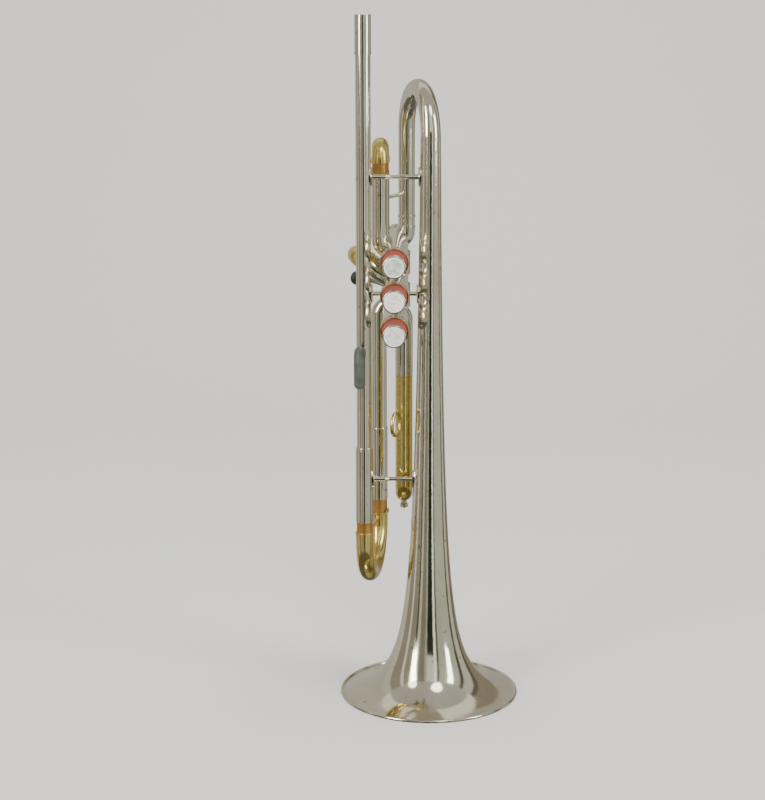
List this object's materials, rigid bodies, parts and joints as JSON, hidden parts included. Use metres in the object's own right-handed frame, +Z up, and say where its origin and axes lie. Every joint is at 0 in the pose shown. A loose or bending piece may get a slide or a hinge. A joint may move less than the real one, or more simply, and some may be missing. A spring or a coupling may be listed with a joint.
{
  "type": "trumpet",
  "caption": "Piston trumpet standing on its bell: flared bell, leadpipe, sprung valves with pearl buttons, pull-out slides, finger hook and ring.",
  "frame": {"origin": "centre of the bell's mouth, on the plane the rim stands on", "axes": "+Z up the bell's axis towards the bow; the valve buttons face -Y; the leadpipe is on the -X side"},
  "size_m": [0.126, 0.1407, 0.4768],
  "materials": {
    "silver_plate": "polished, warm silver plate",
    "lacquered_brass": "polished and lacquered",
    "bare_brass": "dull, greased",
    "pearl": "mother of pearl",
    "red_felt": "pressed wool felt",
    "black_rubber": "satin",
    "cork": "matt",
    "piston_steel": "ground"
  },
  "bodies": {
    "root": {"bell_bow": "silver_plate", "bell_flare": "silver_plate", "bell_rim_wire": "silver_plate", "bell_stem": "silver_plate", "bottom_caps": "silver_plate", "cap_felts": "red_felt", "feed_tube": "silver_plate", "knuckles": "silver_plate", "leadpipe": "silver_plate", "long_braces": "silver_plate", "pinky_hook": "silver_plate", "pinky_hook_sleeve": "black_rubber", "receiver": "silver_plate", "short_braces": "silver_plate", "slide_1_outer": "silver_plate", "slide_2_outer": "silver_plate", "slide_3_outer": "silver_plate", "tail_elbow": "silver_plate", "thumb_rest": "silver_plate", "thumb_rest_sleeve": "black_rubber", "top_cap_1": "silver_plate", "top_cap_2": "silver_plate", "top_cap_3": "silver_plate", "tube_rings": "silver_plate", "tuning_outer_lower": "silver_plate", "tuning_outer_upper": "silver_plate", "valve_casing_1": "silver_plate", "valve_casing_2": "silver_plate", "valve_casing_3": "silver_plate", "valve_guides": "piston_steel", "valve_spring_1": "piston_steel", "valve_spring_2": "piston_steel", "valve_spring_3": "piston_steel"},
    "valve_1": {"piston_1": "piston_steel", "stem_1": "silver_plate", "button_1": "silver_plate", "pearl_1": "pearl"},
    "valve_2": {"piston_2": "piston_steel", "stem_2": "silver_plate", "button_2": "silver_plate", "pearl_2": "pearl"},
    "valve_3": {"piston_3": "piston_steel", "stem_3": "silver_plate", "button_3": "silver_plate", "pearl_3": "pearl"},
    "tuning_slide": {"tuning_crook": "lacquered_brass", "tuning_inner_tubes": "bare_brass", "tuning_fittings": "lacquered_brass"},
    "tuning_key": {"tuning_water_key": "silver_plate", "tuning_key_cork": "cork"},
    "slide_1": {"slide_1_crook": "lacquered_brass", "slide_1_tubes": "bare_brass"},
    "slide_2": {"slide_2_crook": "lacquered_brass", "slide_2_tubes": "bare_brass"},
    "slide_3": {"slide_3_crook": "lacquered_brass", "slide_3_tubes": "bare_brass", "slide_3_ring": "lacquered_brass", "slide_3_fittings": "silver_plate"},
    "slide_3_key": {"slide_3_water_key": "silver_plate", "slide_3_key_cork": "cork"}
  },
  "joints": [
    {"name": "valve_1_travel", "type": "slide", "parent": "root", "child": "valve_1", "axis": [0, 1, 0], "range_m": [0, 0.015], "stiffness_N_per_m": 150, "springref_m": -0.02, "deforming": ["valve_spring_1"]},
    {"name": "valve_2_travel", "type": "slide", "parent": "root", "child": "valve_2", "axis": [0, 1, 0], "range_m": [0, 0.015], "stiffness_N_per_m": 150, "springref_m": -0.02, "deforming": ["valve_spring_2"]},
    {"name": "valve_3_travel", "type": "slide", "parent": "root", "child": "valve_3", "axis": [0, 1, 0], "range_m": [0, 0.015], "stiffness_N_per_m": 150, "springref_m": -0.02, "deforming": ["valve_spring_3"]},
    {"name": "tuning_slide_travel", "type": "slide", "parent": "root", "child": "tuning_slide", "axis": [0, 0, -1], "range_m": [-0.0075, 0.038]},
    {"name": "tuning_key_hinge", "type": "hinge", "parent": "tuning_slide", "child": "tuning_key", "pos_m": [-0.03469, 0.07037, 0.114], "axis": [0.9882, -0.1532, 0], "range_deg": [0, 7], "stiffness_Nm_per_rad": 0.03, "springref_deg": -22.92},
    {"name": "slide_1_travel", "type": "slide", "parent": "root", "child": "slide_1", "axis": [0, 0, 1], "range_m": [-0.0065, 0.025]},
    {"name": "slide_2_travel", "type": "slide", "parent": "root", "child": "slide_2", "axis": [-0.829, 0, 0.5592], "range_m": [0, 0.008]},
    {"name": "slide_3_travel", "type": "slide", "parent": "root", "child": "slide_3", "axis": [0, 0, -1], "range_m": [0, 0.02]},
    {"name": "slide_3_key_hinge", "type": "hinge", "parent": "slide_3", "child": "slide_3_key", "pos_m": [-0.018, 0.0444, 0.154], "axis": [1, 0, 0], "range_deg": [0, 5], "stiffness_Nm_per_rad": 0.03, "springref_deg": -22.92}
  ]
}
